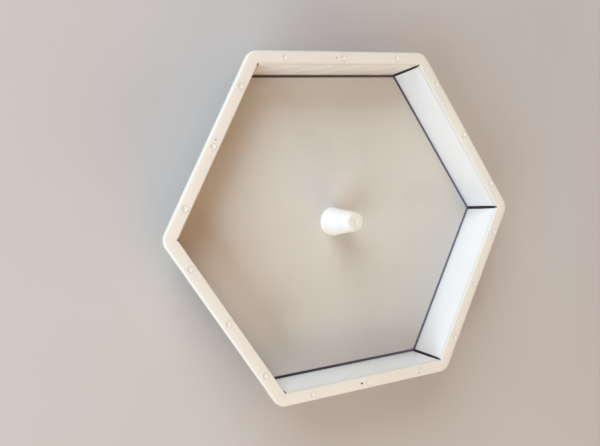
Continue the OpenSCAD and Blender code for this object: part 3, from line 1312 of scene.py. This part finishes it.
@dataclass
class Seams(SubAssembly):
    """The rubber beads that seal the liners to each other."""

    proud: float = 0.55 * MM
    width: float = 2.1 * MM
    back: float = 1.2 * MM
    shoulder: float = 0.35 * MM
    run_out: float = 9.0 * MM
    run_out_width: float = 0.62
    tip: float = 0.4 * MM
    tip_drop: float = 0.6 * MM

    def build_corner_seal(self) -> Object:
        """Model the seal in the corner on +X: a round-shouldered strip with a small bead on top.

        Returns:
            The seal.
        """
        s = self.sizes
        low, turn = s.floor_top - MM, s.rim_low - self.run_out
        half = self.width / 2
        strip = block(Vector((-self.proud, -half, low)), Vector((self.back, half, turn)))
        with shaping(strip):
            choose(strip, looks_up)
            bpy.ops.transform.translate(value=(s.corner(0, turn) - s.corner(0, low), 0, 0))
            reach = s.corner(0, s.rim_low) - s.corner(0, turn)
            bpy.ops.mesh.extrude_region_move(TRANSFORM_OT_translate={"value": (reach, 0, self.run_out)})
            bpy.ops.transform.resize(value=(1, self.run_out_width, 1), center_override=(0, 0, s.rim_low))
        strip.location = (s.corner(0, low), 0, 0)
        settle(strip)
        face = s.corner(0, s.rim_low) + MM / 2
        round_edges(strip, lambda a, b: is_upright(a, b) and max(a.x, b.x) < face, self.shoulder, 4)
        top = s.rim_top - self.tip_drop
        bead = rod(self.tip, s.rim_low - MM, top, (s.corner(0, s.rim_top), 0), 24)
        round_edges(bead, lambda a, b: is_level(a, b, top), self.tip * 0.7, 4)
        combine(strip, bead)
        return clean(strip)

    def build_floor_seal(self) -> Object:
        """Model the six-sided bead between the floor plate and the walls.

        Returns:
            The seal.
        """
        s = self.sizes
        top = s.floor_top + 0.1 * MM
        seal = six_sided(s.corner(0, top), s.liner_low + MM, top, s.lean)
        inner = (s.flat(0, s.floor_top) - s.seam) / FLAT
        cut(seal, six_sided(inner, s.liner_low, top + MM))
        round_edges(seal, lambda a, b: is_level(a, b, top), 0.3 * MM, 3)
        return finished(seal, "floor_bead", 40)

    def build(self) -> None:
        """Build and dress every seam."""
        first = self.build_corner_seal()
        for number in range(1, SIDES + 1):
            seal = smooth(copy_turned(first, f"corner_bead_{number}", SIXTH * (number - 1)), 40)
            dress(seal, self.finishes.corner_rubber, "barrel", "seam_rubber", f"corner_seal_{number}")
        bpy.data.objects.remove(first)
        dress(self.build_floor_seal(), self.finishes.floor_rubber, "barrel", "seam_rubber", "floor_seal")


@dataclass
class Post(SubAssembly):
    """The tapered post in the middle of the floor."""

    foot: float = 7.4 * MM
    tip: float = 4.8 * MM
    fillet: float = 0.4 * MM
    fillet_edge: float = 0.03 * MM
    headroom: float = 1.5 * MM
    tip_round: float = 1.0 * MM
    dimple: float = 1.5 * MM
    dimple_depth: float = 0.28 * MM
    spigot: float = 6.0 * MM
    bush: float = 4.5 * MM
    well: float = 3.4 * MM

    def build_post(self) -> Object:
        """Turn the post, hollow from below for its bush.

        Returns:
            The post.
        """
        s = self.sizes
        _, bush_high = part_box("post_bush")
        _, spindle_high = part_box("spindle")
        post_low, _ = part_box("centre_post")
        post = turned(
            [
                Turn(0, spindle_high.z + self.headroom),
                Turn(self.well, spindle_high.z + self.headroom),
                Turn(self.well, bush_high.z),
                Turn(self.bush, bush_high.z),
                Turn(self.bush, post_low.z, 0.3 * MM),
                Turn(self.spigot, post_low.z, 0.3 * MM),
                Turn(self.spigot, s.floor_top),
                Turn(self.foot + self.fillet, s.floor_top),
                Turn(self.foot + self.fillet, s.floor_top + self.fillet_edge),
                Turn(self.foot, s.floor_top + self.fillet_edge, self.fillet),
                Turn(self.tip, s.post_top, self.tip_round),
                Turn(self.dimple, s.post_top, 0.5 * MM),
                Turn(self.dimple * 0.4, s.post_top - self.dimple_depth, 0.5 * MM),
                Turn(0, s.post_top - self.dimple_depth),
            ]
        )
        return smooth(named(post, "centre_post_moulding"), 35)

    def build(self) -> None:
        """Build and dress the post."""
        dress(self.build_post(), self.finishes.post, "barrel", "post_plastic", "centre_post")


@dataclass
class Drive(SubAssembly):
    """The pulley under the barrel and what holds it."""

    screw_radius: float = 2.0 * MM
    head_radius: float = 3.5 * MM
    head_height: float = 4.0 * MM
    socket: float = 1.75 * MM
    socket_depth: float = 2.0 * MM
    hub_wall: float = 4.5 * MM
    web_wall: float = 4.0 * MM
    belt_wall: float = 6.0 * MM
    clip_depth: float = 0.75 * MM
    bearing_lip: float = 1.5 * MM
    groove_depth: float = 3.2 * MM
    groove_mouth: float = 1.95 * MM
    groove_foot: float = 0.45 * MM
    groove_round: float = 0.4 * MM
    screws: list[Place] = field(default_factory=lambda: places_of("pulley_screws", 8 * MM))

    def build_pulley(self) -> Object:
        """Turn the pulley with its belt groove, and drill it for its screws.

        Returns:
            The pulley.
        """
        low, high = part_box("drive_pulley")
        _, bearing_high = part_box("bearing_outer_ring")
        clip_low, clip_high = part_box("bearing_circlip")
        rim, bore = high.x, bearing_high.x
        hub, web = bore + self.hub_wall, high.z - self.web_wall
        clip, lip = bore + self.clip_depth, bore - self.bearing_lip
        belt, foot = rim - self.belt_wall, rim - self.groove_depth
        middle, brow = (low.z + high.z) / 2, self.groove_round
        pulley = turned(
            [
                Turn(bore, low.z, 0.25 * MM),
                Turn(hub, low.z, 0.5 * MM),
                Turn(hub, web, 0.8 * MM),
                Turn(belt, web, 0.8 * MM),
                Turn(belt, low.z, 0.5 * MM),
                Turn(rim, low.z, 0.5 * MM),
                Turn(rim, middle - self.groove_mouth, brow),
                Turn(foot, middle - self.groove_foot, brow),
                Turn(foot, middle + self.groove_foot, brow),
                Turn(rim, middle + self.groove_mouth, brow),
                Turn(rim, high.z, 0.5 * MM),
                Turn(lip, high.z),
                Turn(lip, bearing_high.z),
                Turn(bore, bearing_high.z),
                Turn(bore, clip_high.z),
                Turn(clip, clip_high.z),
                Turn(clip, clip_low.z),
                Turn(bore, clip_low.z),
            ],
            BIG,
        )
        for place in self.screws:
            cut(pulley, rod(self.screw_radius, web - PAST, high.z + PAST, place, SMALL))
        return finished(pulley, "pulley_turning")

    def build_screws(self) -> Object:
        """Model one cap screw with its hexagon socket, and copy it round the circle.

        Returns:
            All the screws, joined.
        """
        low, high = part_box("pulley_screws")
        neck = low.z + self.head_height
        screw = turned(
            [
                Turn(0, low.z),
                Turn(self.head_radius, low.z, 0.4 * MM),
                Turn(self.head_radius, neck),
                Turn(self.screw_radius, neck),
                Turn(self.screw_radius, high.z, 0.3 * MM),
                Turn(0, high.z),
            ],
            48,
        )
        cut(screw, rod(self.socket, low.z - PAST, low.z + self.socket_depth, steps=SIDES))
        return smooth(copies_at(screw, self.screws, "pulley_screw_set"), 35)

    def build(self) -> None:
        """Build and dress the drive."""
        dress(self.build_pulley(), self.finishes.aluminium, "barrel", "cast_aluminium", "drive_pulley")
        dress(self.build_screws(), self.finishes.plated_steel, "barrel", "zinc_steel", "pulley_screws")


@dataclass
class Base(SubAssembly):
    """The flange, pad and spindle that stay still."""

    bolt_circle: float = 37.0 * MM
    bolt_count: int = 4
    bolt_hole: float = 2.1 * MM
    hole_slack: float = 0.6 * MM
    nut_well: float = 6.4 * MM
    boss: float = 7.5 * MM
    neck: float = 4.4 * MM
    spindle: float = 3.0 * MM
    plate: float = 4.0 * MM
    pad_hole: float = 10.0 * MM

    def bolt_places(self) -> list[Place]:
        """Where the bolt holes are."""
        angles = [TURN * (k + 0.5) / self.bolt_count for k in range(self.bolt_count)]
        return [(self.bolt_circle * math.cos(a), self.bolt_circle * math.sin(a)) for a in angles]

    def build_flange(self) -> Object:
        """Turn the mounting flange and drill it.

        Returns:
            The flange.
        """
        low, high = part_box("mount_flange")
        plate_top = low.z + self.plate
        flange = turned(
            [
                Turn(self.nut_well, low.z, 0.3 * MM),
                Turn(high.x, low.z, 0.5 * MM),
                Turn(high.x, plate_top, 0.6 * MM),
                Turn(self.boss, plate_top, 0.6 * MM),
                Turn(self.boss, high.z - MM, 0.3 * MM),
                Turn(self.neck, high.z - MM, 0.1 * MM),
                Turn(self.neck, high.z, 0.2 * MM),
                Turn(self.spindle, high.z),
                Turn(self.spindle, plate_top - 0.2 * MM),
                Turn(self.nut_well, plate_top - 0.2 * MM),
            ],
            BIG,
        )
        for place in self.bolt_places():
            cut(flange, rod(self.bolt_hole, low.z - PAST, plate_top + PAST, place, 32))
        return finished(flange, "mount_flange_turning")

    def build_pad(self) -> Object:
        """Model the rubber pad.

        Returns:
            The pad.
        """
        low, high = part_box("base_pad")
        pad = turned(
            [
                Turn(self.pad_hole, low.z, 0.2 * MM),
                Turn(high.x, low.z, 0.35 * MM),
                Turn(high.x, high.z, 0.2 * MM),
                Turn(self.pad_hole, high.z, 0.2 * MM),
            ],
            BIG,
        )
        for place in self.bolt_places():
            cut(pad, rod(self.bolt_hole + self.hole_slack, low.z - PAST, high.z + PAST, place, 32))
        return finished(pad, "base_pad_moulding")

    def build(self) -> None:
        """Build and dress the base."""
        dress(self.build_flange(), self.finishes.aluminium, "base", "cast_aluminium", "mount_flange")
        dress(self.build_pad(), self.finishes.pad_rubber, "base", "black_rubber", "base_pad")


def dress_nodes(nodes: dict[str, Object], finishes: Finishes) -> None:
    """Give their finish to the nodes that stay as they are.

    Args:
        nodes: The frame's nodes by name.
        finishes: The finishes.
    """
    kept = {
        "spindle": finishes.ground_steel,
        "spindle_washer": finishes.plated_steel,
        "spindle_nut": finishes.plated_steel,
        "bearing_inner_ring": finishes.ground_steel,
        "bearing_balls": finishes.ground_steel,
        "bearing_cage": finishes.bronze,
        "bearing_outer_ring": finishes.ground_steel,
        "bearing_shields": finishes.plated_steel,
        "bearing_circlip": finishes.plated_steel,
        "dust_seal": finishes.pad_rubber,
        "pulley_gasket": finishes.pad_rubber,
        "backing_plate": finishes.plated_steel,
        "post_bush": finishes.bronze,
    }
    for name, finish in kept.items():
        mesh = nodes[name].data
        mesh.materials.clear()
        mesh.materials.append(finish)


# --------------------------------------------------------------------- studio


@dataclass
class Studio:
    """The floor, the lights and the camera."""

    sizes: Sizes
    lens: float = 39.5
    distance: float = 3.244
    target: tuple[float, float] = (-0.308, 0.022)
    forward: tuple[float, float, float] = (0.4098, -0.0451, -0.9111)
    camera_up: tuple[float, float, float] = (0.0924, 0.9957, -0.0077)
    plane_drop: float = 0.7 * MM

    def lay_floor(self) -> None:
        """Lay a wide floor on the ground."""
        clear_bench()
        bpy.ops.mesh.primitive_plane_add(size=6, location=(0, 0, 0))
        floor = named(bpy.context.object, "studio_floor")
        floor.data.materials.append(
            StudioFloor("studio_floor", Tone(0.50, 0.49, 0.47), Tone(0.47, 0.46, 0.44)).make()
        )

    def hang_light(
        self,
        name: str,
        towards: tuple[float, float, float],
        watts: float,
        tone: Tone,
        away: float = 1.6,
        size: float = 1.1,
    ) -> None:
        """Hang a square soft light that looks at the barrel.

        Args:
            name: Its name.
            towards: Direction from the barrel to it.
            watts: Its power.
            tone: Its colour.
            away: Its distance.
            size: Length of its side.
        """
        lamp = bpy.data.lights.new(name, "AREA")
        lamp.shape = "SQUARE"
        lamp.size = size
        lamp.energy = watts
        lamp.color = (tone.red, tone.green, tone.blue)
        holder = bpy.data.objects.new(name, lamp)
        direction = Vector(towards).normalized()
        holder.location = direction * away
        holder.rotation_euler = direction.to_track_quat("Z", "Y").to_euler()
        bpy.context.scene.collection.objects.link(holder)

    def light(self) -> None:
        """Light the barrel with cool windows on its left and behind it, and a warm room round it."""
        self.hang_light("window", (-0.75, -0.433, 0.5), 22, Tone(0.73, 0.87, 1.0))
        self.hang_light("back_window", (-0.41, 0.709, 0.574), 22.5, Tone(0.81, 0.91, 1.0))
        self.hang_light("warm_wall", (0.28, -0.77, 0.574), 9.3, Tone(1.0, 0.62, 0.23))
        self.hang_light("ceiling", (0.03, 0.0, 1.0), 6.5, Tone(1.0, 0.25, 0.02), away=1.8, size=1.6)
        self.hang_light("far_wall", (0.766, 0.0, 0.643), 3.2, Tone(0.73, 1.0, 0.99))
        world = bpy.data.worlds.new("room")
        world.use_nodes = True
        background = world.node_tree.nodes["Background"]
        background.inputs["Color"].default_value = (1.0, 0.88, 0.78, 1.0)
        background.inputs["Strength"].default_value = 0.15
        bpy.context.scene.world = world

    def stand_camera(self) -> None:
        """Stand the camera over the left of the barrel, looking down into it."""
        reach = self.sizes.outer_corner
        look = Vector(self.forward).normalized()
        up = Vector(self.camera_up)
        right = look.cross(up).normalized()
        up = right.cross(look)
        aim = Vector((self.target[0] * reach, self.target[1] * reach, self.sizes.rim_top - self.plane_drop))
        data = bpy.data.cameras.new("camera")
        data.lens = self.lens
        data.clip_start = 0.01
        camera = bpy.data.objects.new("camera", data)
        camera.location = aim - look * self.distance * reach
        camera.rotation_euler = Matrix((right, up, -look)).transposed().to_euler()
        bpy.context.scene.collection.objects.link(camera)
        bpy.context.scene.camera = camera

    def set_up(self) -> None:
        """Set up the whole studio."""
        self.lay_floor()
        self.light()
        self.stand_camera()
        bpy.context.scene.view_settings.view_transform = "Standard"


def main() -> None:
    """Load the frame and build every sub-assembly round it."""
    logging.basicConfig(level=logging.INFO, format="%(name)s %(message)s")
    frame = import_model()
    sizes = Sizes.from_frame()
    finishes = Finishes.mix(sizes)
    Studio(sizes).set_up()
    dress_nodes(frame["nodes"], finishes)
    for part in (Shell, Rim, Liners, Seams, Post, Drive, Base):
        part(sizes, finishes).build()


if __name__ == "__main__":
    main()
